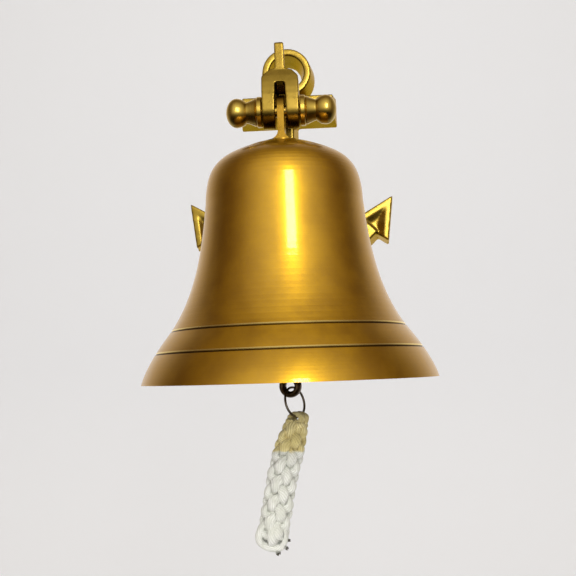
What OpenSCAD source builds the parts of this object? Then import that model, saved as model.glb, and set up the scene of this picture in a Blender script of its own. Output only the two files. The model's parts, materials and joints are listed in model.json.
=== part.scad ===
// Wall-hung ship's bell: a turned brass bell on a forked arm that stands out from an anchor-shaped wall plate.
// Millimetres, +Z up. X is to the right, +Y runs into the wall and the wall face is y = 0.
// The origin is the centre of the four wall screw holes, on the wall face.

/* [Bell] */
// Outside radius of the lip
lip_r = 76; // [74:0.5:78]
// Height from the lip to the flat land on the crown
bell_h = 124.2; // [122.2:0.5:126.2]
// Wall thickness at the waist
bell_wall = 3.2; // [2.4:0.1:4]
// Width of each turned groove
groove_w = 1.7; // [1:0.1:2.5]
// Heights of the two turned grooves above the lip
groove_low_z = 15.4; // [12:0.1:18]
groove_high_z = 26.6; // [24:0.1:30]

/* [Hanging] */
// Height of the hinge pin above the lip
pin_h = 142.1; // [141:0.1:144]
// Distance of the bell's axis from the wall
bell_out = 96; // [94:0.5:104]
// Radius of the hinge pin's shaft
pin_r = 3; // [2.5:0.1:3.5]
// Radial running clearance of the pin in the ears and in the lug
pin_play = 0.06; // [0.02:0.01:0.1]
// Thickness of the lug on the crown
lug_t = 3.4; // [3:0.1:4.2]
// Radius of the lug's rounded top
lug_r = 8.5; // [7.5:0.1:9]

/* [Fork and arm] */
// Outside width of the fork
fork_w = 19.4; // [18:0.1:20]
// Radius of the rounded ears
ear_r = 9.2; // [8.8:0.1:9.6]
// Width of the slot at its top
slot_top_w = 5.3; // [5:0.1:5.8]
// Width of the slot at its open end
slot_open_w = 6.6; // [6:0.1:7]
// Width of the upright horn above the fork
horn_w = 4.9; // [4:0.1:6]
// Width of the arm behind the fork
arm_w = 12; // [9:0.5:14]

/* [Pin knobs] */
// Distance from the middle of the pin to each knob's centre
knob_x = 23.8; // [23:0.1:26]
// Largest radius of a knob
knob_r = 7.7; // [7:0.1:8]
// Radius of the collar beside each ear
collar_r = 8.1; // [7.6:0.1:8.4]

/* [Anchor] */
// Thickness of the anchor
anchor_t = 19; // [17:0.5:21]
// Half width of the stock at the front face
stock_x = 28.1; // [26:0.1:30]
// Half height of the stock at the front face
stock_z = 6.9; // [6.5:0.1:7.5]
// How much each side of the casting widens from front to back
draft = 2.4; // [1.5:0.1:2.6]
// Height of the ring's centre above the stock's centre
ring_up = 22.4; // [21.5:0.1:23]
// Outside radius of the ring at the front face
ring_r = 15; // [14.5:0.1:15.5]
// Radius of the ring's hole at the front face
ring_hole_r = 10.9; // [10.5:0.1:11.2]
// Half width of the arms at the front face
limb_w = 4.9; // [4.6:0.1:5.4]
// How far the fluke tips stand out from the middle
tip_x = 62.2; // [61:0.1:63]
// Drop of the fluke tips below the stock's centre
tip_drop = 58.2; // [57:0.1:59]
// Length of a fluke's side
fluke_side = 28; // [26:0.5:29]

/* [Wall holes] */
// Distance of each hole from the middle plane
hole_x = 22.5; // [20:0.5:23]
// Distance between the upper and the lower holes
hole_drop = 94; // [92:0.5:96]
// Radius of each wall screw hole
hole_r = 2.25; // [2:0.05:2.5]
// Radius of the countersinks
sink_r = 4; // [3.6:0.1:4.2]

/* [Clapper] */
// Radius of the clapper's ball
ball_r = 12.5; // [11:0.5:12.5]
// Height of the ball's centre above the lip
ball_h = 20; // [20:0.5:24]
// Radius of the clapper's rod
rod_r = 3; // [2.5:0.1:3.2]
// Outside radius of the eye at the clapper's lower end
tail_r = 5.9; // [5.6:0.1:6.2]
// Turn of that eye about the upright
tail_turn = 20; // [16:1:26]

/* [Lanyard] */
// Radius of the wire ring's centre line
wire_ring_r = 7.7; // [7.5:0.1:7.9]
// Radius of the wire
wire_r = 0.6; // [0.5:0.05:0.7]
// Diameter of the braid
braid_d = 16.6; // [15:0.1:17]
// Diameter of one cord of the braid
strand_d = 4.2; // [4:0.1:4.6]

/* [Hidden] */
$fn = 96;

brass = "#c79a32";
dark_brass = "#8a6420";
steel = "#8d8a84";
cotton = "#e9e7df";
eps = 0.02;

// Heights of the main features in the part's frame
stock_at = hole_drop / 2;
pin_at = stock_at - 25.6;
lip_at = pin_at - pin_h;
// Where the arms' arc has its centre, and its radius through the lower holes
arc_down = 32;
arc_r = sqrt(pow(hole_drop - arc_down, 2) + pow(hole_x, 2));

// Points of a cubic curve, without the last one
function curve(a, b, c, d, n = 14) = [for (i = [0 : n - 1]) let (t = i / n, u = 1 - t)
    a * u * u * u + b * 3 * u * u * t + c * 3 * u * t * t + d * t * t * t];
// Points of an arc about c from angle f to angle t
function arc(c, r, f, t, n = 12) = [for (i = [0 : n]) let (a = f + (t - f) * i / n) c + r * [cos(a), sin(a)]];

module at_bell() translate([0, -bell_out, lip_at]) children();
module at_pin() translate([0, -bell_out, pin_at]) children();
module at_stock() translate([0, 0, stock_at]) children();
// Turns a shape drawn round Z to lie along X, its top to the right
module along_x() rotate([0, 90, 0]) children();
// Turns a shape drawn in X and Z, at y = 0, so that it is extruded towards the wall
module facing(depth) rotate([90, 0, 0]) translate([0, 0, -depth]) linear_extrude(depth) children();
// Extrudes a shape drawn in Y and Z along X, centred on x = 0
module sideways(width) rotate([90, 0, 90]) linear_extrude(width, center = true) children();
module torus(ring, wire) rotate_extrude() translate([ring, 0]) circle(wire, $fn = 32);

// ---------------------------------------------------------------- anchor

// A wall screw hole through the anchor, sunk from the front
module wall_hole() {
    rotate([90, 0, 0]) translate([0, 0, -1]) cylinder(r = hole_r, h = anchor_t + 2);
    rotate([90, 0, 0]) translate([0, 0, anchor_t - (sink_r - hole_r)])
        cylinder(r1 = hole_r, r2 = sink_r + 0.1, h = sink_r - hole_r + 0.1);
}

// Section of the cast ring and arms: w is the half width at the front face
module cast_section(r, w) translate([r, 0])
    polygon([[-w, anchor_t], [w, anchor_t], [w + draft, 0], [-w - draft, 0]]);

module anchor_ring() translate([0, 0, ring_up]) rotate([90, 0, 0]) rotate_extrude()
    cast_section((ring_r + ring_hole_r) / 2, (ring_r - ring_hole_r) / 2);

module stock() intersection() {
    sideways(3 * stock_x) polygon([[0, stock_z + draft], [0, -stock_z - draft], [-anchor_t, -stock_z],
        [-anchor_t, stock_z]]);
    translate([0, 0, -2 * stock_z]) linear_extrude(4 * stock_z) polygon([[-stock_x - draft, 0],
        [stock_x + draft, 0], [stock_x, -anchor_t], [-stock_x, -anchor_t]]);
}

// The shank widens from shank_w at the front face by the draft on each side
shank_w = 3.3;
module shank() translate([0, 0, -arc_down - arc_r]) linear_extrude(arc_down + arc_r)
    polygon([[-shank_w - draft, 0], [shank_w + draft, 0], [shank_w, -anchor_t], [-shank_w, -anchor_t]]);

// The curved arms run from one fluke to the other, limb_end degrees each way from straight down
limb_end = 47.5;
module limbs() intersection() {
    translate([0, 0, -arc_down]) rotate([90, 0, 0]) rotate_extrude($fn = 180) cast_section(arc_r, limb_w);
    translate([0, -anchor_t - 1, -arc_down]) facing(anchor_t + 2)
        polygon([[0, 0], 2 * arc_r * [sin(limb_end), -cos(limb_end)], [0, -3 * arc_r],
            2 * arc_r * [-sin(limb_end), -cos(limb_end)]]);
}

// The two sides of a fluke leave its tip at these angles from straight down
fluke_out = 7;
fluke_in = 60;
fluke_draft = 1.2;
module fluke_shape(grow) let (tip = [tip_x, -tip_drop], o = [-sin(fluke_out), -cos(fluke_out)],
    i = [-sin(fluke_in), -cos(fluke_in)], mid = (o + i) / norm(o + i), g = grow / sin((fluke_in - fluke_out) / 2))
    polygon([tip - g * mid, tip - g * mid + (fluke_side + g) * o, tip - g * mid + (fluke_side + g) * i]);

// Right fluke: a drafted arrowhead whose field slopes down inside a raised border, and a hollowed base
border = 3.4;
field_depth = 1.8;
field_slope = 3.9;
module fluke() difference() {
    hull() {
        translate([0, -anchor_t, 0]) facing(0.1) fluke_shape(0);
        translate([0, -0.1, 0]) facing(0.1) fluke_shape(fluke_draft);
    }
    hull() {
        translate([0, -anchor_t - 0.1, 0]) facing(0.1) fluke_shape(-border);
        translate([0, field_depth - anchor_t - 0.1, 0]) facing(0.1) fluke_shape(-border - field_slope);
    }
    translate([tip_x - 25.6, 1, -tip_drop - 38]) rotate([90, 0, 0]) cylinder(r = 18.5, h = anchor_t + 2);
}

module arm_screw_places() for (z = [-4.5, 4.5]) translate([0, 0, z]) rotate([90, 0, 0]) children();
screw_r = 2;
screw_head_r = 3.9;
screw_len = 29;

module anchor_plate() color(brass) at_stock() difference() {
    union() {
        anchor_ring();
        stock();
        shank();
        limbs();
        fluke();
        mirror([1, 0, 0]) fluke();
    }
    for (x = [-hole_x, hole_x], z = [0, -hole_drop]) translate([x, 0, z]) wall_hole();
    arm_screw_places() translate([0, 0, -1]) {
        cylinder(r = screw_r + 0.2, h = anchor_t + 2);
        cylinder(r1 = screw_head_r + 1.5, r2 = screw_r + 0.1, h = screw_head_r - screw_r + 1.4);
    }
}

// ---------------------------------------------------------------- arm and fork

// Heights above the pin's axis
slot_top = 14.2;
shoulder = 17.9;
shoulder_top = 21;
horn_foot = 22.6;
horn_top = 36.4;
arm_foot_z = 25.6;
// How far the slot is cut into the arm behind the ears
slot_past = 6;

// Side view of the arm, y from the bell's axis and z from the pin's axis
foot_y = bell_out - anchor_t;
module arm_side() polygon(concat(
    [[-ear_r, 6], [-ear_r, shoulder + 1]],
    curve([-ear_r + 2, horn_foot - 1], [8, horn_foot + 1], [20, 17.5], [36, 20.5]),
    curve([36, 20.5], [48, 23], [foot_y - 20, arm_foot_z + 6], [foot_y, arm_foot_z + 6.8]),
    [[foot_y, arm_foot_z + 6.8], [foot_y, arm_foot_z - 6.8]],
    curve([foot_y, arm_foot_z - 6.8], [foot_y - 16, arm_foot_z - 8.5], [42, 8], [24, 7]),
    [[ear_r, 6]]));

// Front view of the fork above the ears: cut-off shoulders and a short sweep up into the horn
shoulder_cut = 3.1;
module fork_front() let (w = fork_w / 2, h = horn_w / 2, top_w = w - shoulder_cut) polygon(concat(
    [[w, 0], [w, shoulder - 0.8], [w - 0.4, shoulder]],
    curve([top_w, shoulder_top], [h + 2.6, shoulder_top + 0.7], [h, horn_foot - 0.7], [h, horn_foot], 8),
    [[h, horn_top - 0.6], [h - 0.6, horn_top], [0.6 - h, horn_top], [-h, horn_top - 0.6]],
    curve([-h, horn_foot], [-h, horn_foot - 0.7], [-h - 2.6, shoulder_top + 0.7], [-top_w, shoulder_top], 8),
    [[0.4 - w, shoulder], [-w, shoulder - 0.8], [-w, 0]]));

// Side view of the fork and horn: above the pin the fork's face leans back along an arc, up to the horn's face
face_r = 55;
horn_y = -5;
module fork_side() union() {
    circle(ear_r);
    polygon(concat(
        arc([face_r - ear_r, 0], face_r, 180, 180 - asin((shoulder_top + 0.2) / face_r), 6),
        [[horn_y, horn_top - 0.8], [horn_y + 0.8, horn_top], [horn_y + 5.6, horn_top]],
        [[horn_y + 6.4, horn_top - 1.2], [horn_y + 7, horn_foot + 2], [4, shoulder + 0.5], [ear_r, 14], [ear_r, 0]]));
}

// Half plan of the arm and its mirror image: front_w wide at the fork, then arm_w, then the foot on the anchor
module arm_plan(front_w, back_w, step_y) for (side = [1, -1]) scale([side, 1]) polygon([[-eps, -2], [front_w, -2],
    [back_w, step_y], [arm_w / 2, step_y + 14], [arm_w / 2, foot_y - 16], [7.5, foot_y - 3], [7.5, foot_y],
    [-eps, foot_y]]);

module bracket_arm() color(brass) at_pin() difference() {
    union() {
        intersection() {
            sideways(fork_w) fork_side();
            translate([0, -ear_r - 1, 0]) facing(2 * ear_r + 2) union() {
                fork_front();
                translate([-fork_w / 2, -ear_r - 1]) square([fork_w, ear_r + 2]);
            }
        }
        for (part = [[fork_w / 2, fork_w / 2, 6, shoulder - 3], [5.5, arm_w / 2, 14, 40]]) intersection() {
            sideways(fork_w) arm_side();
            linear_extrude(part[3]) arm_plan(part[0], part[1], part[2]);
        }
    }
    translate([0, -ear_r - 1, 0]) facing(2 * ear_r + slot_past) polygon(concat(
        [[-slot_open_w / 2, -ear_r - 1], [slot_open_w / 2, -ear_r - 1], [slot_top_w / 2, slot_top - 1.2]],
        [[slot_top_w / 2 - 0.9, slot_top], [0.9 - slot_top_w / 2, slot_top]],
        [[-slot_top_w / 2, slot_top - 1.2]]));
    along_x() cylinder(r = pin_r + pin_play, h = fork_w + 2, center = true);
    translate([0, foot_y, arm_foot_z]) arm_screw_places()
        translate([0, 0, -1]) cylinder(r = screw_r + 0.05, h = screw_len - anchor_t + 2);
}

module arm_screws() color(steel) at_stock() arm_screw_places() difference() {
    union() {
        translate([0, 0, 0.3]) cylinder(r1 = screw_head_r, r2 = screw_r, h = screw_head_r - screw_r);
        translate([0, 0, 1]) cylinder(r = screw_r, h = screw_len - 1.5);
    }
    translate([-screw_head_r - 1, -0.5, -0.5]) cube([2 * screw_head_r + 2, 1, 1.7]);
}

// ---------------------------------------------------------------- pin and knobs

collar_x = fork_w / 2 + 0.35;
collar_w = 3;
neck_x = knob_x - 5.4;

// A turned end, as radius and distance from the middle of the pin: collar, cone, neck and flattened knob
knob_end = 5.5;
module turned_end() let (neck = sqrt(pow(knob_r, 2) - pow(knob_x - neck_x, 2)), cone = collar_x + collar_w)
    rotate_extrude() polygon(concat(
        [[0, collar_x], [collar_r - 0.5, collar_x], [collar_r, collar_x + 0.5]],
        [[collar_r, cone - 0.6], [collar_r - 0.5, cone - 0.1], [collar_r - 1.1, cone + 0.2],
            [collar_r - 0.6, cone + 0.6]],
        curve([collar_r - 0.7, cone + 0.7], [collar_r - 1.4, cone + 2], [neck + 0.5, neck_x - 1.6],
            [neck, neck_x - 0.2], 6),
        arc([0, knob_x], knob_r, -asin((knob_x - neck_x) / knob_r), 0, 10),
        [for (a = [9 : 9 : 81]) [knob_r * cos(a), knob_x + knob_end * sin(a)]],
        [[0, knob_x + knob_end]]));

thread_r = 2.4;
thread_end = 24;

module hinge_pin() color(brass) at_pin() along_x() {
    mirror([0, 0, 1]) turned_end();
    translate([0, 0, -collar_x - eps]) cylinder(r = pin_r, h = 2 * collar_x - 0.2);
    translate([0, 0, collar_x - 0.5]) cylinder(r = thread_r, h = thread_end - collar_x);
}

module pin_end_knob() color(brass) at_pin() along_x() difference() {
    turned_end();
    translate([0, 0, collar_x - 1]) cylinder(r = thread_r + 0.1, h = thread_end - collar_x + 1.2);
}

// ---------------------------------------------------------------- bell

// Outside of the bell from the lip to the crown, as radius and height
bell_out_side = concat(
    curve([lip_r, 0], [lip_r - 2.2, 7.7], [lip_r - 8, 16.7], [62.5, 23.8], 14),
    curve([62.5, 23.8], [47.7, 42.7], [43.7, 68.1], [41.3, 92], 22),
    curve([41.3, 92], [40.8, bell_h - 10.6], [33.5, bell_h - 8.1], [20.3, bell_h - 2.6], 18),
    curve([20.3, bell_h - 2.6], [17, bell_h - 1.2], [14, bell_h - 0.2], [9.9, bell_h], 5),
    [[9.9, bell_h]]);
// Inside of the bell from the crown back to the lip: thin at the waist, thick where the clapper strikes
bell_in_side = let (t = bell_wall) concat(
    [[8.6, bell_h - 4.1]],
    curve([8.6, bell_h - 4.1], [14, bell_h - 4.6], [29, bell_h - 10.2], [41.1 - t, 94 - t], 18),
    curve([41.1 - t, 94 - t], [43.4 - t, 68], [47.4 - t, 42], [59.4 - t, 26], 22),
    curve([59.4 - t, 26], [64 - t, 20], [lip_r - 6, 9], [lip_r - 1.5, 0], 12),
    [[lip_r - 1.5, 0]]);
// Radius of the bell's outside at height z, between the points round it
function bell_radius(z, i = 0) = bell_out_side[i + 1][1] > z
    ? let (a = bell_out_side[i], b = bell_out_side[i + 1]) a[0] + (b[0] - a[0]) * (z - a[1]) / (b[1] - a[1])
    : bell_radius(z, i + 1);

stud_r = 2.9;
module bell_shell() color(brass) at_bell() difference() {
    rotate_extrude($fn = 180) polygon(concat([[stud_r + 0.2, bell_h]], [for (i = [len(bell_out_side) - 1 : -1 : 0])
        bell_out_side[i]], [for (i = [len(bell_in_side) - 1 : -1 : 0]) bell_in_side[i]],
        [[stud_r + 0.2, bell_h - 4.1]]));
    for (z = [groove_low_z, groove_high_z]) rotate_extrude($fn = 180)
        translate([bell_radius(z) + 0.25, z]) rotate(35)
            polygon([[0.6, groove_w / 2 + 0.4], [-0.8, 0], [0.6, -groove_w / 2 - 0.4]]);
}

// ---------------------------------------------------------------- crown fittings

disc_t = 1.2;
washer_at = bell_h - 4.2;
nut_at = washer_at - 1.3;
stud_end = nut_at - 12;
lug_foot = 4.4;

module crown_lug() color(brass) at_bell() difference() {
    union() {
        translate([0, 0, bell_h + 0.02]) cylinder(r = 9.65, h = disc_t);
        intersection() {
            translate([0, 0, bell_h]) cylinder(r = 9.4, h = 40);
            sideways(20) union() {
                translate([0, pin_h]) circle(lug_r);
                translate([-lug_r, bell_h + 0.5]) square([2 * lug_r, pin_h - bell_h - 0.5]);
            }
            translate([0, -10, bell_h + 0.5]) facing(20) polygon(concat(
                [[-lug_foot - lug_t / 2, 0], [lug_foot + lug_t / 2, 0]],
                arc([lug_foot + lug_t / 2, lug_foot + 0.6], lug_foot, -90, -180, 7),
                [[lug_t / 2, 40], [-lug_t / 2, 40]],
                arc([-lug_foot - lug_t / 2, lug_foot + 0.6], lug_foot, 0, -90, 7)));
        }
        translate([0, 0, stud_end]) cylinder(r = stud_r, h = bell_h - stud_end + 1);
    }
    translate([0, 0, pin_h]) along_x() cylinder(r = pin_r + pin_play, h = 20, center = true);
}

module crown_washer() color(dark_brass) at_bell() translate([0, 0, washer_at - 1.2]) difference() {
    cylinder(r = 8, h = 1.2);
    translate([0, 0, -1]) cylinder(r = stud_r + 0.3, h = 4);
}

module crown_nut() color(brass) at_bell() translate([0, 0, nut_at - 4.6]) difference() {
    cylinder(r = 5.77, h = 4.5, $fn = 6);
    translate([0, 0, -1]) cylinder(r = stud_r + 0.05, h = 7);
}

// The eye nut screws on the end of the stud: a turned body over a ring that lies in the X-Z plane
eye_body_top = nut_at - 5;
eye_body_h = 9.3;
eye_ring_r = 4.5;
eye_wire_r = 1.6;
eye_ring_at = eye_body_top - eye_body_h - eye_ring_r + 0.6;

module eye_nut() color(dark_brass) at_bell() {
    difference() {
        translate([0, 0, eye_body_top - eye_body_h]) rotate_extrude() polygon([[0, 0], [3, 0], [5.2, 2.2],
            [5.2, eye_body_h - 0.8], [4.4, eye_body_h], [0, eye_body_h]]);
        translate([0, 0, stud_end - 0.4]) cylinder(r = stud_r + 0.05, h = 20);
    }
    translate([0, 0, eye_ring_at]) rotate([90, 0, 0]) torus(eye_ring_r, eye_wire_r);
}

// ---------------------------------------------------------------- clapper

// A round link in the Y-Z plane hangs in the eye nut, and the clapper's own eye hangs in the link
link_r = 5.3;
link_wire_r = 1.3;
rub = 0.3;
link_top = eye_ring_at - eye_ring_r + eye_wire_r + link_wire_r + rub;
link_at = link_top - link_r;
clapper_eye_top = link_at - link_r + link_wire_r + eye_wire_r + rub;
clapper_eye_at = clapper_eye_top - eye_ring_r;
rod_top = clapper_eye_at - eye_ring_r - eye_wire_r + 0.8;
tail_at = -3;
tail_neck_top = 7;
tail_neck_r = 4.3;

module clapper_link() color(steel) at_bell() translate([0, 0, link_at]) along_x() torus(link_r, link_wire_r);

module clapper_rod() color(dark_brass) at_bell() {
    translate([0, 0, clapper_eye_at]) rotate([90, 0, 0]) torus(eye_ring_r, eye_wire_r);
    rotate_extrude() polygon([[0, 3.2], [2.3, 3.2], [2.3, tail_neck_top + 0.1], [rod_r, tail_neck_top + 0.1],
        [rod_r, rod_top - 2.5], [2.2, rod_top], [0, rod_top]]);
}

module clapper_ball() color(dark_brass) at_bell() difference() {
    translate([0, 0, ball_h]) sphere(ball_r);
    translate([0, 0, ball_h - ball_r - 1]) cylinder(r = rod_r + 0.05, h = 2 * ball_r + 2);
}

// The eye's section is an oval, so that the mouths of its hole are well rounded
tail_hole_r = 2.6;
tail_half_t = 2.9;
module clapper_tail_eye() color(dark_brass) at_bell() difference() {
    union() {
        translate([0, 0, tail_at]) rotate([0, 0, -tail_turn]) rotate([90, 0, 0]) rotate_extrude()
            polygon([for (a = [0 : 12 : 348]) [(tail_r + tail_hole_r) / 2 + (tail_r - tail_hole_r) / 2 * cos(a),
                tail_half_t * sin(a)]]);
        rotate_extrude() polygon([[0, tail_at + 3.2], [2.6, tail_at + 3.2], [3.4, tail_at + 5.4],
            [tail_neck_r, tail_neck_top - 2.8], [tail_neck_r, tail_neck_top - 0.6],
            [tail_neck_r - 0.6, tail_neck_top], [0, tail_neck_top]]);
    }
    translate([0, 0, 2.9]) cylinder(r = 2.35, h = 10);
}

// ---------------------------------------------------------------- lanyard

// The wire ring goes through the clapper's lower eye and leans to the right of it
ring_turn = 34;
ring_lean = 15;
module at_wire_ring() at_bell() translate([0, 0, tail_at - 0.7]) rotate([0, -ring_lean, 0])
    rotate([0, 0, -ring_turn]) children();

module lanyard_ring() color(steel) at_wire_ring() translate([0, 0, -wire_ring_r]) along_x() torus(wire_ring_r, wire_r);

// Route of the lanyard from the wire ring to its end knot, from the bell's axis at the lip
route = [[1.8, 0, -24.4], [0.9, 0, -27.2], [-1.2, 0, -33.5], [-3.3, 0, -40.5], [-5.4, 0, -48], [-7.2, 0, -56],
    [-8.8, 0, -64.5], [-10.3, 0, -71.5], [-11.4, 0, -77.4]];

// Ring of points round route point i, square to the route
function tube_ring(i, r, n) = let (
    a = route[max(i - 1, 0)], b = route[min(i + 1, len(route) - 1)],
    along = (b - a) / norm(b - a), side = [0, 1, 0], up = cross(along, side))
    [for (k = [0 : n - 1]) route[i] + r * (cos(360 * k / n) * side + sin(360 * k / n) * up)];

module tube(r, n = 12) let (rings = [for (i = [0 : len(route) - 1]) each tube_ring(i, r, n)], last = len(route) - 1)
    polyhedron(rings, concat(
        [[for (k = [0 : n - 1]) k]],
        [for (i = [0 : last - 1], k = [0 : n - 1]) let (m = (k + 1) % n)
            [i * n + k, (i + 1) * n + k, (i + 1) * n + m, i * n + m]],
        [[for (k = [n - 1 : -1 : 0]) last * n + k]]));

module lanyard_braid() color(cotton) at_bell() tube(braid_d / 2);

// Turns the upright to the route's direction at one of its ends
module lean(a, b) rotate([0, 180 + atan2(a[0] - b[0], a[2] - b[2]), 0]) children();

// Cord eye round the wire ring, above the braid
eye_cord_r = 4.8;
eye_up = 5.2;
module lanyard_eye() color(cotton) at_bell() translate(route[0]) lean(route[0], route[1])
    translate([0, 0, -eye_up]) rotate([0, 0, 90 + ring_turn]) rotate([0, 90, 0]) difference() {
        torus(eye_cord_r, strand_d / 2);
        translate([-20 - eye_up + eps, -10, -10]) cube(20);
    }

module lanyard_end_knot() color(cotton) at_bell() let (last = len(route) - 1)
    translate(route[last]) lean(route[last - 1], route[last]) rotate_extrude() polygon(concat(
        [[0, 0.02], [braid_d / 2 - 1.4, 0.02]],
        arc([braid_d / 2 - 4, 4.4], 3.9, -50, 80, 8),
        [[braid_d / 2 - 5, 8.4], [0, 8.6]]));

// ---------------------------------------------------------------- the nodes

anchor_plate();
bracket_arm();
arm_screws();
hinge_pin();
pin_end_knob();
bell_shell();
crown_lug();
crown_washer();
crown_nut();
eye_nut();
clapper_link();
clapper_rod();
clapper_ball();
clapper_tail_eye();
lanyard_ring();
lanyard_eye();
lanyard_braid();
lanyard_end_knot();
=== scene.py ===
import json
import math

import bpy
from mathutils import Matrix, Vector


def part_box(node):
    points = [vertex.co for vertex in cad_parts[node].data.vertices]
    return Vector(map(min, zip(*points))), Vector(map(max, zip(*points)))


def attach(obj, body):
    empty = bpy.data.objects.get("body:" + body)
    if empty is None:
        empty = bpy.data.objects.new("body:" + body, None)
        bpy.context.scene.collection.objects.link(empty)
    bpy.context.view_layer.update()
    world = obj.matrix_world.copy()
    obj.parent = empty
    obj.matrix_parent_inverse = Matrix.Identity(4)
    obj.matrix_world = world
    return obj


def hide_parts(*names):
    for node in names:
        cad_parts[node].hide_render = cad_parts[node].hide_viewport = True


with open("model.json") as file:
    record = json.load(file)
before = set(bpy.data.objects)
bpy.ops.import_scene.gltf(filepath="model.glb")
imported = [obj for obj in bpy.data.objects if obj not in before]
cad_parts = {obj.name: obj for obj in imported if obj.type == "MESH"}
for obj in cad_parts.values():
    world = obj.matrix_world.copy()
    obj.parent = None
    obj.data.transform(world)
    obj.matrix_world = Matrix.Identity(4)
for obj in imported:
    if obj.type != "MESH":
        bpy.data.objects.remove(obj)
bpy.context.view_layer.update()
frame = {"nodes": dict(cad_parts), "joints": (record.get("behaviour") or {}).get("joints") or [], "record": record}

MM = 0.001
UP = Vector((0, 0, 1))
BACK = Vector((0, 1, 0))
JOINTS = {j["name"]: j for j in frame["joints"]}
scene = bpy.context.scene


# ---------------------------------------------------------------- camera

# Fitted to the photo: lens and sensor in mm, place from the middle of the bell's lip, and turns in degrees
LENS = 54.95
SENSOR = 36
CAMERA_FROM_LIP = Vector((23.8, -455.4, 5.69)) * MM
CAMERA_TURNS = {"yaw": 2.94, "pitch": 5.29, "roll": -1.93}
NEAREST_SEEN = 0.01

bell_low, bell_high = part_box("bell_shell")
bell_axis = (bell_low + bell_high) / 2
lip = Vector((bell_axis.x, bell_axis.y, bell_low.z))


def aim(yaw, pitch, roll):
    """Rotation of a camera that looks along +Y, turned left by yaw, up by pitch and rolled, in degrees."""
    turn = Matrix.Rotation(math.radians(yaw), 4, "Z")
    tip = Matrix.Rotation(math.radians(90 + pitch), 4, "X")
    return turn @ tip @ Matrix.Rotation(math.radians(roll), 4, "Z")


def make_camera():
    data = bpy.data.cameras.new("camera")
    data.sensor_width = SENSOR
    data.lens = LENS
    data.clip_start = NEAREST_SEEN
    camera = bpy.data.objects.new("camera", data)
    scene.collection.objects.link(camera)
    camera.matrix_world = Matrix.Translation(lip + CAMERA_FROM_LIP) @ aim(**CAMERA_TURNS)
    scene.camera = camera


make_camera()


# ---------------------------------------------------------------- material nodes


def add(tree, kind, inputs=None, **settings):
    """A new node. An input is given a number, a colour or another node's output socket."""
    made = tree.nodes.new(kind)
    for key, value in settings.items():
        setattr(made, key, value)
    for key, value in (inputs or {}).items():
        if isinstance(value, bpy.types.NodeSocket):
            tree.links.new(value, made.inputs[key])
        else:
            made.inputs[key].default_value = value
    return made


def maths(tree, operation, *values):
    return add(tree, "ShaderNodeMath", dict(enumerate(values)), operation=operation).outputs[0]


def times_plus(tree, value, factor, more):
    return maths(tree, "MULTIPLY_ADD", value, factor, more)


def vector_maths(tree, operation, *values):
    made = add(tree, "ShaderNodeVectorMath", dict(enumerate(values)), operation=operation)
    return made.outputs["Value" if operation == "DOT_PRODUCT" else "Vector"]


def part_of(tree, vector, axis):
    """The X, Y or Z of a vector socket."""
    return add(tree, "ShaderNodeSeparateXYZ", {"Vector": vector}).outputs[axis]


def noise(tree, place, scale, detail=3, rough=0.55):
    inputs = {"Vector": place, "Scale": scale, "Detail": detail, "Roughness": rough}
    return add(tree, "ShaderNodeTexNoise", inputs).outputs["Fac"]


def span(tree, value, low, high, to_low=0, to_high=1, steps="SMOOTHSTEP"):
    """Value carried from low..high to to_low..to_high."""
    inputs = {"Value": value, "From Min": low, "From Max": high, "To Min": to_low, "To Max": to_high}
    return add(tree, "ShaderNodeMapRange", inputs, interpolation_type=steps).outputs["Result"]


def mix(tree, part, a, b):
    """Colour a, turning to colour b as part goes from 0 to 1."""
    made = tree.nodes.new("ShaderNodeMix")
    made.data_type = "RGBA"
    # The inputs are taken by number, because the node has sockets of the same names for each type of data
    for socket, value in ((made.inputs[0], part), (made.inputs[6], a), (made.inputs[7], b)):
        if isinstance(value, bpy.types.NodeSocket):
            tree.links.new(value, socket)
        else:
            socket.default_value = value if isinstance(value, (int, float)) else (*value, 1)
    return made.outputs[2]


def bump(tree, height, depth):
    inputs = {"Height": height, "Strength": 1, "Distance": depth}
    return add(tree, "ShaderNodeBump", inputs).outputs["Normal"]


def new_material(name, inputs):
    """A material with its tree and its shader, whose inputs are given as numbers or colours."""
    made = bpy.data.materials.new(name)
    made.use_nodes = True
    shader = made.node_tree.nodes["Principled BSDF"]
    for key, value in inputs.items():
        shader.inputs[key].default_value = value
    return made, made.node_tree, shader


# ---------------------------------------------------------------- cotton

# Clean cotton and cotton in the bell's painted warm shade, each with the painted shade of its hollows, and the
# painted shade at the frayed yarns' tips
COTTON = (0.93, 0.94, 0.90)
COTTON_SHADE = (0.72, 0.74, 0.66)
COTTON_BELL_SHADE = (0.95, 0.84, 0.44)
COTTON_BELL_SHADE_HOLLOWS = (0.60, 0.50, 0.19)
FRAY_TIP_SHADE = (0.13, 0.12, 0.09)
# Heights from the lip where the bell's painted warm shade begins and is full, and how far its edge wanders
BELL_SHADE_BEGINS = -34.1 * MM
BELL_SHADE_FULL = -32.7 * MM
BELL_SHADE_WANDER = 5 * MM
# Yarns side by side round a cord, how far they wind along it, how unevenly they lie and their bump's depth
YARNS = 11
YARN_TURNS = 420
YARN_WANDER = 0.35
YARN_DEPTH = 0.22 * MM
# Part of its wave, from -1 to 1, at which a yarn has its full height
YARN_FULL = 0.4
FUZZ_SCALE = 1600
FUZZ_DEPTH = 0.6
# Stains: the scale of their noise, and the values between which they fade
STAIN_SCALE = 170
STAIN_FADE = (0.32, 0.62)
# Least part of the light tone that is left in the hollows
HOLLOW_TONE = 0.2
# Length over which a frayed yarn's tip turns to painted shade
FRAY_TIP_SHADE_BLEND = 0.9 * MM


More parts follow.
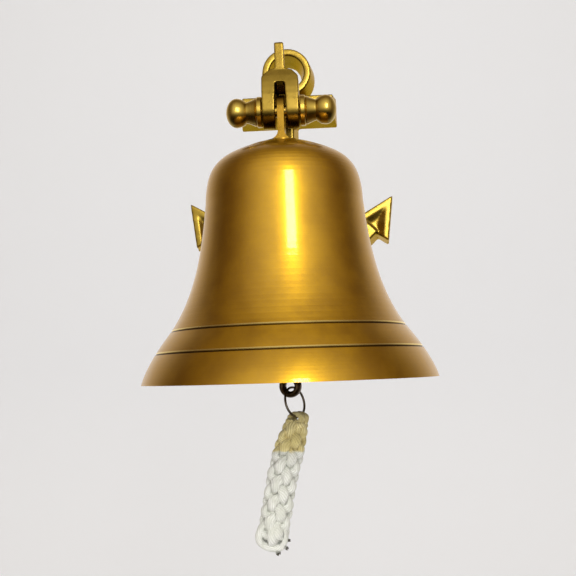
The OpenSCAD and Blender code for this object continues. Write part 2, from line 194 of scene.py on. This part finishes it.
def cotton(name, tip_at=None):
    """Spun cotton: fine yarns that wind round each cord, with painted shade in their hollows and the bell's
    painted warm shade near the brass. UVs are length and turn.
    Past a length of tip_at the cord turns to painted shade at its tip."""
    look = {"Roughness": 0.95, "Specular IOR Level": 0.2, "Sheen Weight": 0.25, "Sheen Roughness": 0.5}
    made, tree, shader = new_material(name, look)
    coords = tree.nodes.new("ShaderNodeTexCoord")
    place, uv = coords.outputs["Object"], coords.outputs["UV"]
    along = part_of(tree, uv, "X")
    fuzz = noise(tree, place, FUZZ_SCALE, 4, 0.7)
    stains = noise(tree, place, STAIN_SCALE)
    around = times_plus(tree, part_of(tree, uv, "Y"), YARNS, maths(tree, "MULTIPLY", along, YARN_TURNS))
    uneven = times_plus(tree, fuzz, YARN_WANDER, around)
    yarn = maths(tree, "SINE", maths(tree, "MULTIPLY", uneven, 2 * math.pi))
    lift = span(tree, yarn, -1, YARN_FULL)
    # Real stains and painted shade in the yarns' hollows both turn the cotton to its shade colour
    unstained_unshaded = maths(tree, "MULTIPLY", span(tree, stains, *STAIN_FADE), lift)
    tone = times_plus(tree, unstained_unshaded, 1 - HOLLOW_TONE, HOLLOW_TONE)
    height = times_plus(tree, stains, BELL_SHADE_WANDER, part_of(tree, place, "Z"))
    # Painted warm shade that the bell casts over the lanyard's upper part; the stains' noise makes its edge wander
    in_bell_shade = span(tree, height, lip.z + BELL_SHADE_BEGINS, lip.z + BELL_SHADE_FULL)
    clean = mix(tree, tone, COTTON_SHADE, COTTON)
    bell_shaded = mix(tree, tone, COTTON_BELL_SHADE_HOLLOWS, COTTON_BELL_SHADE)
    colour = mix(tree, in_bell_shade, clean, bell_shaded)
    # The tips of the frayed yarns get painted shade
    if tip_at is not None:
        colour = mix(tree, span(tree, along, tip_at, tip_at + FRAY_TIP_SHADE_BLEND), colour, FRAY_TIP_SHADE)
    tree.links.new(colour, shader.inputs["Base Color"])
    rise = times_plus(tree, fuzz, FUZZ_DEPTH, lift)
    tree.links.new(bump(tree, rise, YARN_DEPTH), shader.inputs["Normal"])
    return made


# ---------------------------------------------------------------- curves and cords

# Points of the smooth curve between two given ones, before they are spaced evenly
FINE = 60
# Distance between the points of a finished path
STEP = 0.4 * MM
# Least part of a cord's thickness that is left at its rounded tips, squared
TIP_LEFT = 0.0009
# How much further out a ply's crown lies than its groove, as a part of the depth of the plies
PLY_CROWN = 1.6


def smooth(t):
    t = min(max(t, 0), 1)
    return t * t * (3 - 2 * t)


def catmull(points, k, t):
    """Point at t of the smooth curve's stretch from point k to the next one."""
    a, b = points[max(k - 1, 0)], points[k]
    c, d = points[k + 1], points[min(k + 2, len(points) - 1)]
    bent = (2 * a - 5 * b + 4 * c - d) * t * t + (3 * b - a - 3 * c + d) * t ** 3
    return 0.5 * (2 * b + (c - a) * t + bent)


def even_curve(points, step):
    """Points about step apart along the smooth curve through the given ones."""
    fine = [catmull(points, k, i / FINE) for k in range(len(points) - 1) for i in range(FINE)]
    fine.append(points[-1])
    reach = [0]
    for a, b in zip(fine, fine[1:]):
        reach.append(reach[-1] + (b - a).length)
    count = max(2, round(reach[-1] / step))
    out, k = [], 0
    for i in range(count + 1):
        want = reach[-1] * i / count
        while k < len(fine) - 2 and reach[k + 1] < want:
            k += 1
        part = (want - reach[k]) / max(reach[k + 1] - reach[k], 1e-12)
        out.append(fine[k].lerp(fine[k + 1], min(part, 1)))
    return out


def length_of(points):
    return sum((b - a).length for a, b in zip(points, points[1:]))


def direction_at(path, i):
    return (path[min(i + 1, len(path) - 1)] - path[max(i - 1, 0)]).normalized()


def new_object(name, mesh):
    obj = bpy.data.objects.new(name, mesh)
    scene.collection.objects.link(obj)
    return obj


class Tube:
    """Plied cords swept along paths, gathered in one mesh. UVs are length in metres and part of a turn."""

    def __init__(self):
        self.verts, self.faces, self.uvs = [], [], []

    def add(self, path, outward, wide, thick, swell=None, plies=3, turns=260, depth=0.09, sides=28,
            ends=1.4 * MM):
        """A cord along path. At each point, outward gives the flat side's direction and swell the width's
        factor. Its plies wind by turns radians a metre and are depth deep, as a part of the radius. Its tips
        are rounded over a length of ends."""
        base, last, whole = len(self.verts), len(path) - 1, length_of(path)
        gone = 0
        for i, p in enumerate(path):
            along = direction_at(path, i)
            flat = outward[i] - outward[i].dot(along) * along
            flat.normalize()
            across = along.cross(flat)
            from_tip = min(gone, whole - gone)
            close = math.sqrt(max(1 - (1 - min(from_tip / ends, 1)) ** 2, TIP_LEFT))
            broad = wide * (swell[i] if swell else 1)
            for k in range(sides):
                a = 2 * math.pi * k / sides
                ply = abs(math.cos(plies * (a - turns * gone) / 2))
                r = close * (1 - depth + depth * PLY_CROWN * ply)
                out = flat * (thick / 2 * r * math.cos(a)) + across * (broad / 2 * r * math.sin(a))
                self.verts.append(p + out)
            if i < last:
                gone += (path[i + 1] - p).length
        self.skin(base, last, whole, sides)

    def skin(self, base, last, whole, sides):
        """Faces and UVs round the rings of points from number base on, and over both tips."""
        for i in range(last):
            v0, v1 = whole * i / last, whole * (i + 1) / last
            for k in range(sides):
                m = (k + 1) % sides
                a, b = base + i * sides, base + (i + 1) * sides
                self.faces.append((a + k, a + m, b + m, b + k))
                u0, u1 = k / sides, (k + 1) / sides
                self.uvs += [(v0, u0), (v0, u1), (v1, u1), (v1, u0)]
        for ring, order in ((0, range(sides - 1, -1, -1)), (last, range(sides))):
            self.faces.append(tuple(base + ring * sides + k for k in order))
            self.uvs += [(whole * ring / last, 0)] * sides

    def make(self, name):
        mesh = bpy.data.meshes.new(name)
        mesh.from_pydata(self.verts, [], self.faces)
        layer = mesh.uv_layers.new(name="UVMap")
        for loop, uv in zip(layer.data, self.uvs):
            loop.uv = uv
        mesh.shade_smooth()
        mesh.update()
        return new_object(name, mesh)


# ---------------------------------------------------------------- lanyard

RING_FOOT = Vector(JOINTS["lanyard_swing"]["pos_m"])
# Route of the lanyard from the wire ring to its end knot, from the bell's axis at the lip, in mm
ROUTE = ((1.8, 0, -24.4), (0.9, 0, -27.2), (-1.2, 0, -33.5), (-3.3, 0, -40.5), (-5.4, 0, -48),
         (-7.2, 0, -56), (-8.8, 0, -64.5), (-10.3, 0, -71.5), (-11.4, 0, -77.4))
# How far the plait reaches past the two ends of the route
RUN_UP = 4.1 * MM
RUN_OUT = 2.4 * MM

# A cord in the plait, pressed flat by its neighbours, and its width's factor: the mean, and the gain on top
STRAND_WIDE = 5.1 * MM
STRAND_THICK = 3.4 * MM
SWELL = (0.94, 0.12)
# Cords that wind each way, and the turn from one cord to its neighbour, in degrees
EACH_WAY = 4
COLUMN = 360 / (2 * EACH_WAY)
# Mean radius of the strands' middles, how far they rise and dip past each other, and how flat the rises are
BRAID_R = 5.05 * MM
BRAID_WAVE = 1.6 * MM
BRAID_FLAT = 0.35
# Length of one whole turn of a strand, and how much steeper it runs where it lies on top
BRAID_TURN = 38 * MM
BRAID_STEEP = 0.82
# What is left of the radius at the top and at the foot of the plait, and how far from there it is whole
TOP_LEFT, TOP_REACH = 0.7, 16 * MM
FOOT_LEFT, FOOT_REACH = 0.8, 4 * MM

# A bight of the eye, of which one lies on each side of the wire ring's foot. Points are across the wire,
# aside along it and up, in mm. The legs' are from the route's start, and the arch's middle from the ring's
# foot. The bights' flat sides face a centre below that middle.
BIGHT_WIDE, BIGHT_THICK = 3.6 * MM, 2.7 * MM
BIGHT_DOWN_LEG = ((-3.1, 2.6, -7), (-4.2, 2.2, -1.5))
BIGHT_UP_LEG = ((3.2, 2.2, -1.5), (2.7, 2.6, -7))
ARCH_MIDDLE = (-0.9, 1.8, -0.9)
ARCH_HALF_WIDE, ARCH_HIGH = 3.7, 2.2
ARCH_ANGLES = range(-90, 91, 30)
BIGHT_CENTRE_DOWN = 2 * MM

# Bands of cord at the lanyard's turned-back end: turn round the route in degrees, width and thickness, and
# points across, down from the plait's foot and aside, in mm
CROWN_BANDS = (
    (0, 4.2, 3.6, ((-4.2, -8, 2.4), (-6.2, -5, 3), (-6.8, -1, 3), (-5.5, 2.5, 2.2), (-2, 4, 1.4),
                   (2, 4.2, 1.6), (5, 2.8, 2.4), (5.6, 1.4, 2.6))),
    (0, 3.6, 2.4, ((4.6, -8, 2.2), (6.2, -4.5, 2.6), (6.7, -1, 2.8), (5.6, 2, 2.8), (3.6, 3.4, 1.4))),
    (0, 4.6, 3.2, ((-4.2, -9, -4), (-6, -4, -3.6), (-5, 0.6, -2.6), (0, 2.6, -2.2), (5, 0.6, -2.6),
                   (5.8, -4, -3.6), (4.2, -9, -4))),
    (90, 5.2, 3.2, ((-5.4, -9, -0.4), (-6.1, -3.6, 0), (-4.6, 0.2, 0.5), (0, 2, 0.9), (4.6, 0.2, 0.5),
                    (6.1, -3.6, 0), (5.4, -9, -0.4))),
    (-60, 4.2, 3, ((-4, -10, 1), (-5.4, -6, 1), (-4.4, -2.4, 1), (0, -0.6, 1), (4.6, -2.4, 1),
                   (5.6, -6, 1), (4, -10, 1))),
)
# How far down past the plait's foot the centre lies that the bands' flat sides face
CROWN_CENTRE = 1 * MM
BAND_SIDES = 24

# Tufts of loose yarn: distance down from the plait's foot, turn in degrees, radius, and lean down the route
TUFTS = ((-1.4 * MM, -14, 6.2 * MM, 0.1), (1.9 * MM, -20, 6.2 * MM, 0.4), (4 * MM, -36, 3.6 * MM, 1.2))
# Yarns in a tuft, its radius at the root, how deep it is rooted, how far its yarns bend and spread, and
# their length, thickness and the length of their tips in painted shade
TUFT_YARNS = 14
TUFT_R = 0.62 * MM
TUFT_ROOT = 2 * MM
TUFT_BEND = 0.35 * MM
TUFT_SPREAD = 0.8
FRAY = 5.2 * MM
FRAY_THICK = 0.55 * MM
FRAY_SHADED_TIP = 1.2 * MM
# Turn from each yarn of a tuft to the next, in radians, which spreads them evenly
YARN_APART = 2.4


def route_points():
    """Points along the lanyard's route, from a little above its start to a little below its end."""
    points = [lip + Vector(p) * MM for p in ROUTE]
    first = points[0] + (points[0] - points[1]).normalized() * RUN_UP
    last = points[-1] + (points[-1] - points[-2]).normalized() * RUN_OUT
    return even_curve([first, *points, last], STEP)


def route_frames(route):
    """Along, right and back directions at each point of the route."""
    frames = []
    for i in range(len(route)):
        along = direction_at(route, i)
        frames.append((along, along.cross(BACK).normalized(), BACK))
    return frames


def on_braid(route, frames, down, angle, radius):
    """Point at a distance down the route, past its end if need be, and the direction out from it there."""
    i = min(max(round(down / STEP), 0), len(route) - 1)
    along, right, back = frames[i]
    out = right * math.cos(angle) + back * math.sin(angle)
    return route[i] + along * (down - i * STEP) + out * radius, out


def narrowed(left, reach, distance):
    """Factor that grows from left at an end of the plait to 1 at a distance of reach from it."""
    return left + (1 - left) * smooth(distance / reach)


def make_strands(route, frames):
    """Eight cords in a round plait: four wind each way, each over one and under one of the other four."""
    strands, whole = [], length_of(route)
    for way, side in ((1, "right"), (-1, "left")):
        shift = 0 if way > 0 else COLUMN
        first = math.radians(COLUMN / 2 + shift)
        for k in range(EACH_WAY):
            start = math.radians(2 * COLUMN * k + shift)
            path, outs, swell = [], [], []
            for i in range(len(route)):
                down = whole * i / (len(route) - 1)
                u = 2 * math.pi * down / BRAID_TURN + start
                angle = first + way * (u - BRAID_STEEP / EACH_WAY * math.sin(EACH_WAY * u))
                over = math.cos(EACH_WAY * u)
                over = over * (1 + BRAID_FLAT - BRAID_FLAT * over * over)
                close = narrowed(TOP_LEFT, TOP_REACH, down) * narrowed(FOOT_LEFT, FOOT_REACH, whole - down)
                p, out = on_braid(route, frames, down, angle, (BRAID_R + BRAID_WAVE * over) * close)
                path.append(p)
                outs.append(out)
                swell.append(SWELL[0] + SWELL[1] * over)
            tube = Tube()
            tube.add(path, outs, STRAND_WIDE, STRAND_THICK, swell)
            strands.append((tube.make("lanyard_strand_%s_%d" % (side, k + 1)), path))
    return strands


def make_eye():
    """Two bights of the cord that pass over the foot of the wire ring and into the top of the braid."""
    wire = Vector(JOINTS["ring_swing"]["axis"]).normalized()
    across = wire.cross(UP).normalized()
    top = lip + Vector(ROUTE[0]) * MM
    tube = Tube()
    for side in (-1, 1):

        def past(start, point):
            return start + (across * point[0] + wire * (side * point[1]) + UP * point[2]) * MM

        middle = past(RING_FOOT, ARCH_MIDDLE)
        points = [past(top, point) for point in BIGHT_DOWN_LEG]
        for degrees in ARCH_ANGLES:
            a = math.radians(degrees)
            points.append(past(middle, (ARCH_HALF_WIDE * math.sin(a), 0, ARCH_HIGH * math.cos(a))))
        points += [past(top, point) for point in BIGHT_UP_LEG]
        path = even_curve(points, STEP)
        centre = middle - UP * BIGHT_CENTRE_DOWN
        tube.add(path, [p - centre for p in path], BIGHT_WIDE, BIGHT_THICK, sides=BAND_SIDES)
    return tube.make("lanyard_eye_bights")


def make_crown(route, frames):
    """The cords' ends, turned back over the plait's foot, as the bands that CROWN_BANDS lists."""
    foot = length_of(route)
    tube = Tube()
    for turn, wide, thick, shape in CROWN_BANDS:
        angle = math.radians(turn)
        points = []
        for across, down, aside in shape:
            p = on_braid(route, frames, foot + down * MM, angle, across * MM)[0]
            forth = on_braid(route, frames, foot + down * MM, angle - math.pi / 2, 0)[1]
            points.append(p + forth * aside * MM)
        path = even_curve(points, STEP)
        centre = on_braid(route, frames, foot + CROWN_CENTRE, angle, 0)[0]
        tube.add(path, [p - centre for p in path], wide * MM, thick * MM, sides=BAND_SIDES)
    return tube.make("lanyard_crown")


def make_frayed_ends(route, frames):
    """Short tufts of loose yarn where three cords were cut, on the right of the crown."""
    foot = length_of(route)
    down_route, across_route, back = frames[-1][0], frames[-1][0].cross(frames[-1][2]), frames[-1][2]
    tube = Tube()
    for tuft, (down, turn, radius, lean) in enumerate(TUFTS):
        root, away = on_braid(route, frames, foot + down, math.radians(turn), radius)
        along = (away + down_route * lean).normalized()
        for k in range(TUFT_YARNS):
            ring = TUFT_R * math.sqrt((k + 0.5) / TUFT_YARNS)
            side = back * math.cos(YARN_APART * k) + across_route * math.sin(YARN_APART * k)
            side = side - along * side.dot(along)
            # The yarns bend each its own way, by numbers that don't repeat within a tuft
            bend = Vector((math.sin(3.1 * k + tuft), math.cos(1.7 * k), math.sin(2.3 * k))) * TUFT_BEND
            start = root + side * ring - along * TUFT_ROOT
            tip = start + along * FRAY + side * ring * TUFT_SPREAD + bend
            path = even_curve([start, start.lerp(tip, 0.4), start.lerp(tip, 0.75) + bend * 0.6, tip], STEP)
            # The small part along keeps the direction from vanishing where a yarn runs straight out
            outward = [side + along * 0.01] * len(path)
            tube.add(path, outward, FRAY_THICK, FRAY_THICK, depth=0, sides=6, ends=0.5 * MM)
    return tube.make("lanyard_frayed_ends")


def make_lanyard():
    route = route_points()
    frames = route_frames(route)
    strands = make_strands(route, frames)
    eye = make_eye()
    crown = make_crown(route, frames)
    frayed = make_frayed_ends(route, frames)
    whole_cords = [strand for strand, path in strands] + [eye, crown]
    cloth = cotton("cotton_cord")
    for piece in whole_cords:
        piece.data.materials.append(cloth)
    # The frayed yarns get painted shade at their tips
    frayed.data.materials.append(cotton("cotton_shaded_tips", FRAY - FRAY_SHADED_TIP))
    for piece in [*whole_cords, frayed]:
        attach(piece, "lanyard")
    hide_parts("lanyard_braid")
    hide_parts("lanyard_eye")
    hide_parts("lanyard_end_knot")


make_lanyard()


# ---------------------------------------------------------------- brass and steel

# Looks of the metals, as metal() below takes them
LOOKS = {
    "brass_turned": {"light": (0.66, 0.47, 0.09), "dark": (0.45, 0.29, 0.035), "rough": 0.29, "coat": 0.5,
                     "coat_rough": 0.16, "lathe": "X", "edge": (1, 0.85, 0.5), "under": 0.6},
    "brass_cast": {"light": (0.42, 0.29, 0.05), "dark": (0.27, 0.17, 0.022), "rough": 0.27, "coat": 0.05,
                   "grain": 0.03, "mottle": 110, "edge": (0.9, 0.72, 0.35)},
    # The lug's tone is the cast brass darkened as painted shade on its flat faces
    "brass_lug": {"light": (0.27, 0.15, 0.016), "dark": (0.17, 0.09, 0.008), "rough": 0.27, "coat": 0.05,
                  "grain": 0.03, "mottle": 110, "edge": (0.9, 0.68, 0.25)},
    # The arm's tone is the cast brass darkened as painted shade on its flat faces
    "brass_arm": {"light": (0.33, 0.215, 0.036), "dark": (0.20, 0.125, 0.016), "rough": 0.27, "coat": 0.05,
                  "grain": 0.03, "mottle": 110, "edge": (0.9, 0.72, 0.35), "under": 0.3},
    "brass_bell": {"light": (0.72, 0.40, 0.006), "dark": (0.52, 0.27, 0.003), "rough": 0.36, "coat": 0.35,
                   "coat_rough": 0.1, "coat_ior": 2, "lathe": "Z", "inside": (0.42, 0.25, 0.05),
                   "edge": (1, 1, 0.95), "grooves": (15.4 * MM, 26.6 * MM)},
    "brass_dark": {"light": (0.16, 0.10, 0.05), "dark": (0.07, 0.045, 0.022), "rough": 0.33, "coat": 0.3,
                   "mottle": 200},
    "steel_wire": {"light": (0.42, 0.38, 0.32), "dark": (0.13, 0.10, 0.07), "rough": 0.32, "mottle": 260},
}
# Every other node has the look that its slot names
LOOK_OF_NODE = {"crown_lug": "brass_lug"}
LOOK_OF_SLOT = {"steel": "steel_wire"}
# Half the height of a turned groove, how soft its edges are, the tones of its upper side, lighter cut brass
# that also paints a highlight, and of its darker lower side, and what the cut adds to the bell's roughness
GROOVE_HALF = 0.75 * MM
GROOVE_SOFT = 0.12 * MM
CUT_AND_HIGHLIGHT = (1, 0.78, 0.28)
GROOVE_LOW_DARK = (0.13, 0.065, 0.006)
CUT_ROUGH = -0.1
# Patches and specks: the noise's values between which a patch changes, each one's part in the tone, the
# specks' scale, and how far the roughness strays to the smooth and to the rough side
PATCH_FADE = (0.3, 0.7)
PATCH_TONE = 0.65
SPECK_TONE = 0.35
SPECK_SCALE = 1500
ROUGH_LESS, ROUGH_MORE = 0.04, 0.05
# Slopes of an underside between which its painted shade sets in
UNDERSIDE_SHADE_FADE = (-0.75, -0.15)
# A bell's inner wall: what part of its light tone its dark tone is, how much rougher and grainier it is, and
# the values of radius times outward facing between which it begins
INSIDE_DARK = 0.6
INSIDE_ROUGH = 0.18
INSIDE_GRAIN = 0.12
INSIDE_FADE = (-12 * MM, -2 * MM)
# Turning marks: scale, depth, how far they stray, their part in the tone, and what they leave of the rest
MARK_SCALE = 1300
MARK_DEPTH = 0.035
MARK_WANDER = 0.4 * MM
MARK_TONE = 0.5
UNMARKED_TONE, UNMARKED_SHIFT = 0.8, -0.17


def turning_marks(tree, shader, place, patches, lathe):
    """Fine rings that a lathe left round the axis, which also stretch the highlights."""
    along = times_plus(tree, patches, MARK_WANDER, part_of(tree, place, lathe))
    flat = add(tree, "ShaderNodeCombineXYZ", {"X": along}).outputs["Vector"]
    tangent = add(tree, "ShaderNodeTangent", direction_type="RADIAL", axis=lathe).outputs["Tangent"]
    tree.links.new(tangent, shader.inputs["Tangent"])
    shader.inputs["Anisotropic"].default_value = 0.4
    shader.inputs["Anisotropic Rotation"].default_value = 0.25
    return noise(tree, flat, MARK_SCALE, 4, 0.7)


def on_inner_wall(tree, place, normal):
    """1 where a surface faces the bell's axis, and 0 elsewhere."""
    from_axis = vector_maths(tree, "SUBTRACT", place, tuple(bell_axis))
    level = vector_maths(tree, "MULTIPLY", from_axis, (1, 1, 0))
    facing = vector_maths(tree, "DOT_PRODUCT", level, normal)
    return span(tree, facing, *INSIDE_FADE, 1, 0)


def between(tree, value, low, high):
    """1 where the value lies between low and high, and 0 elsewhere, with soft ends."""
    after = span(tree, value, low - GROOVE_SOFT, low + GROOVE_SOFT)
    return maths(tree, "MULTIPLY", after, span(tree, value, high - GROOVE_SOFT, high + GROOVE_SOFT, 1, 0))


def groove_sides(tree, height, outside, rise):
    """Where the groove at a rise above the lip has its upper side, lighter cut brass with a painted highlight, and
    its darker lower side.
    """
    middle = lip.z + rise
    cut = maths(tree, "MULTIPLY", outside, between(tree, height, middle, middle + GROOVE_HALF))
    low_dark = maths(tree, "MULTIPLY", outside, between(tree, height, middle - GROOVE_HALF, middle))
    return cut, low_dark


def metal(name, light, dark, rough, coat=0, coat_rough=0.2, coat_ior=1.5, lathe=None, grain=0.02, mottle=60,
          inside=None, edge=(1, 1, 1), under=1, grooves=()):
    """Worn metal in patches between a light and a dark tone, under a thin coat of lacquer.

    grain is the depth of its specks and mottle the scale of its patches. lathe is the axis that turning
    marks run round, as X or Z. inside is the colour of a bell's rough inner wall. edge tints what the metal
    shows at a glancing angle. under is how much of its brightness is left on undersides, darkened as painted
    shade. grooves are the heights of turned grooves above the bell's lip, each with a lighter cut upper side
    that also paints a highlight and a darker lower side."""
    made, tree, shader = new_material(name, {
        "Metallic": 1, "Specular Tint": (*edge, 1), "Coat Weight": coat, "Coat Roughness": coat_rough,
        "Coat IOR": coat_ior})
    coords = tree.nodes.new("ShaderNodeTexCoord")
    place, normal = coords.outputs["Object"], coords.outputs["Normal"]
    patches = noise(tree, place, mottle, 5, 0.6)
    specks = noise(tree, place, SPECK_SCALE, 3, 0.7)
    tone = times_plus(tree, specks, SPECK_TONE, span(tree, patches, *PATCH_FADE, 0, PATCH_TONE))
    height = maths(tree, "MULTIPLY", specks, grain)
    shine = span(tree, patches, *PATCH_FADE, rough - ROUGH_LESS, rough + ROUGH_MORE)
    if lathe:
        marks = turning_marks(tree, shader, place, patches, lathe)
        tone = times_plus(tree, marks, MARK_TONE, times_plus(tree, tone, UNMARKED_TONE, UNMARKED_SHIFT))
        height = times_plus(tree, marks, MARK_DEPTH, height)
    colour = mix(tree, tone, dark, light)
    # Undersides are darkened towards black as painted shade
    if under < 1:
        bright = span(tree, part_of(tree, normal, "Z"), *UNDERSIDE_SHADE_FADE, under, 1)
        colour = mix(tree, bright, (0, 0, 0), colour)
    outside = 1
    if inside:
        hidden = on_inner_wall(tree, place, normal)
        inner = mix(tree, tone, tuple(INSIDE_DARK * c for c in inside), inside)
        colour = mix(tree, hidden, colour, inner)
        shine = times_plus(tree, hidden, INSIDE_ROUGH, shine)
        height = times_plus(tree, maths(tree, "MULTIPLY", hidden, specks), INSIDE_GRAIN, height)
        outside = maths(tree, "SUBTRACT", 1, hidden)
    lacquer = coat
    for rise in grooves:
        cut, low_dark = groove_sides(tree, part_of(tree, place, "Z"), outside, rise)
        # The upper side gets lighter cut brass that also paints a highlight; the lower side is only made darker
        colour = mix(tree, low_dark, mix(tree, cut, colour, CUT_AND_HIGHLIGHT), GROOVE_LOW_DARK)
        shine = times_plus(tree, cut, CUT_ROUGH, shine)
        bare = maths(tree, "SUBTRACT", 1, maths(tree, "ADD", cut, low_dark))
        lacquer = maths(tree, "MULTIPLY", lacquer, bare)
    if grooves:
        tree.links.new(lacquer, shader.inputs["Coat Weight"])
    tree.links.new(colour, shader.inputs["Base Color"])
    tree.links.new(shine, shader.inputs["Roughness"])
    tree.links.new(bump(tree, height, 1 * MM), shader.inputs["Normal"])
    return made


def softened(node, body, voxel, rounds, material):
    """A copy of a cast node with its sharp edges worn round, which replaces it."""
    piece = new_object(node + "_cast", frame["nodes"][node].data.copy())
    remesh = piece.modifiers.new("remesh", "REMESH")
    remesh.mode = "VOXEL"
    remesh.voxel_size = voxel
    wear = piece.modifiers.new("wear", "SMOOTH")
    wear.factor = 0.5
    wear.iterations = rounds
    solved = piece.evaluated_get(bpy.context.evaluated_depsgraph_get())
    mesh = bpy.data.meshes.new_from_object(solved)
    piece.modifiers.clear()
    piece.data = mesh
    mesh.materials.clear()
    mesh.materials.append(material)
    mesh.shade_smooth()
    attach(piece, body)
    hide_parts(node)


def finish_metal():
    """A metal for each node by its slot, but for the lug and the arm, which get the cast brass darkened as painted
    shade.
    """
    made = {name: metal(name, **look) for name, look in LOOKS.items()}
    slots = {part["node"]: part["material_slot"] for part in frame["record"]["subparts"]}
    for node, obj in frame["nodes"].items():
        look = LOOK_OF_NODE.get(node, LOOK_OF_SLOT.get(slots[node], slots[node]))
        obj.data.materials.clear()
        obj.data.materials.append(made.get(look, made["brass_cast"]))
    softened("anchor_plate", "bracket", 0.7 * MM, 7, made["brass_cast"])
    softened("bracket_arm", "bracket", 0.35 * MM, 5, made["brass_arm"])


finish_metal()


# ---------------------------------------------------------------- stage and light

PALE = (0.845, 0.86, 0.91)
# The backdrop's floor height, its sweep's radius, and how far back, forward, up and to each side it reaches
FLOOR_Z = -0.9
SWEEP_R = 0.8
SWEEP_STEPS = 24
BACKDROP_Y = 1.9
BACKDROP_FRONT = -5
BACKDROP_TOP = 5
BACKDROP_HALF = 6

# Middle of the soft glow in front of the object: to the right by the first angle and up by the second
GLOW_AT = (math.radians(5.5), math.radians(20))
GLOW_STRENGTH = 2.0
# Colours of the glow, from the side away from it (0) to its middle (1)
GLOW = ((0.30, (0.065, 0.045, 0.035)), (0.5, (0.06, 0.04, 0.03)), (0.62, (0.095, 0.066, 0.045)),
        (0.75, (0.18, 0.145, 0.11)), (0.88, (0.37, 0.34, 0.29)), (0.97, (0.56, 0.55, 0.50)),
        (1, (0.65, 0.64, 0.6)))
# Colours of the wall, from the front (0) to the back (1)
WALL = ((0.55, (0, 0, 0)), (0.68, (0.04, 0.04, 0.035)), (0.8, (0.2, 0.195, 0.19)), (1, (0.47, 0.465, 0.46)))
# Slopes between which the glow fades downwards, and what is left of it below them
FADE_LOW, FADE_HIGH, FADE_LEFT = -0.6, 0.05, 0.12

# Lamps, all aimed at the bell's waist: name, place, width, height, watts, and if the metal mirrors them
LAMPS = (
    ("front_core", (0.21, -1.15, 0.28), 0.22, 0.57, 4.4, True),
    ("front_fill", (-0.3, -1.2, 0.15), 0.9, 0.9, 3, False),
    ("backdrop_light", (0, 0.3, 2.2), 2.5, 1.2, 23, False),
)
LAMPS_AIM = lip + UP * 60 * MM


def make_backdrop():
    """A pale floor that sweeps up into a backdrop far behind the object."""
    profile = [(BACKDROP_FRONT, FLOOR_Z)]
    for i in range(SWEEP_STEPS + 1):
        a = math.radians(90 * i / SWEEP_STEPS)
        profile.append((BACKDROP_Y - SWEEP_R * (1 - math.sin(a)), FLOOR_Z + SWEEP_R * (1 - math.cos(a))))
    profile.append((BACKDROP_Y, BACKDROP_TOP))
    verts = [(x, y, z) for x in (-BACKDROP_HALF, BACKDROP_HALF) for y, z in profile]
    n = len(profile)
    mesh = bpy.data.meshes.new("floor")
    mesh.from_pydata(verts, [], [(k, k + 1, n + k + 1, n + k) for k in range(n - 1)])
    mesh.shade_smooth()
    floor = new_object("floor", mesh)
    look = {"Base Color": (*PALE, 1), "Roughness": 0.9, "Specular IOR Level": 0}
    mesh.materials.append(new_material("floor_paint", look)[0])
    floor.visible_glossy = False


def ramp(tree, value, stops):
    """The colour at a value between stops of a position and a colour each."""
    made = add(tree, "ShaderNodeValToRGB", {"Fac": value})
    elements = made.color_ramp.elements
    elements[0].position, elements[1].position = stops[0][0], stops[-1][0]
    for at, colour in stops[1:-1]:
        elements.new(at)
    for element, (at, colour) in zip(elements, stops):
        element.color = (*colour, 1)
    return made.outputs["Color"]


def make_world():
    """A soft glow round one direction in front, dark below it, and a pale wall behind the object. In their
    place the camera sees only an even pale tone."""
    world = bpy.data.worlds.new("studio")
    scene.world = world
    world.use_nodes = True
    tree = world.node_tree
    way = tree.nodes.new("ShaderNodeTexCoord").outputs["Generated"]
    turn, rise = GLOW_AT
    middle = (math.sin(turn) * math.cos(rise), -math.cos(turn) * math.cos(rise), math.sin(rise))
    near = span(tree, vector_maths(tree, "DOT_PRODUCT", way, middle), -1, 1, steps="LINEAR")
    below = span(tree, part_of(tree, way, "Z"), FADE_LOW, FADE_HIGH, FADE_LEFT, 1)
    front = vector_maths(tree, "SCALE", ramp(tree, near, GLOW))
    tree.links.new(below, front.node.inputs["Scale"])
    wall = ramp(tree, span(tree, part_of(tree, way, "Y"), -1, 1, steps="LINEAR"), WALL)
    light = tree.nodes["Background"]
    tree.links.new(vector_maths(tree, "ADD", front, wall), light.inputs["Color"])
    light.inputs["Strength"].default_value = GLOW_STRENGTH
    seen = add(tree, "ShaderNodeBackground", {"Color": (*PALE, 1)})
    path = tree.nodes.new("ShaderNodeLightPath")
    both = add(tree, "ShaderNodeMixShader", {"Fac": path.outputs["Is Camera Ray"],
                                             1: light.outputs["Background"], 2: seen.outputs["Background"]})
    tree.links.new(both.outputs["Shader"], tree.nodes["World Output"].inputs["Surface"])


def soft_box(name, place, width, height, power, glossy):
    """A rectangular lamp that points at the bell, and shows in the metal if it is glossy."""
    data = bpy.data.lights.new(name, "AREA")
    data.shape = "RECTANGLE"
    data.size = width
    data.size_y = height
    data.energy = power
    lamp = bpy.data.objects.new(name, data)
    scene.collection.objects.link(lamp)
    towards = (LAMPS_AIM - Vector(place)).to_track_quat("-Z", "Y")
    lamp.matrix_world = Matrix.Translation(place) @ towards.to_matrix().to_4x4()
    lamp.visible_glossy = glossy


make_backdrop()
make_world()
for lamp in LAMPS:
    soft_box(*lamp)
scene.view_settings.view_transform = "Standard"
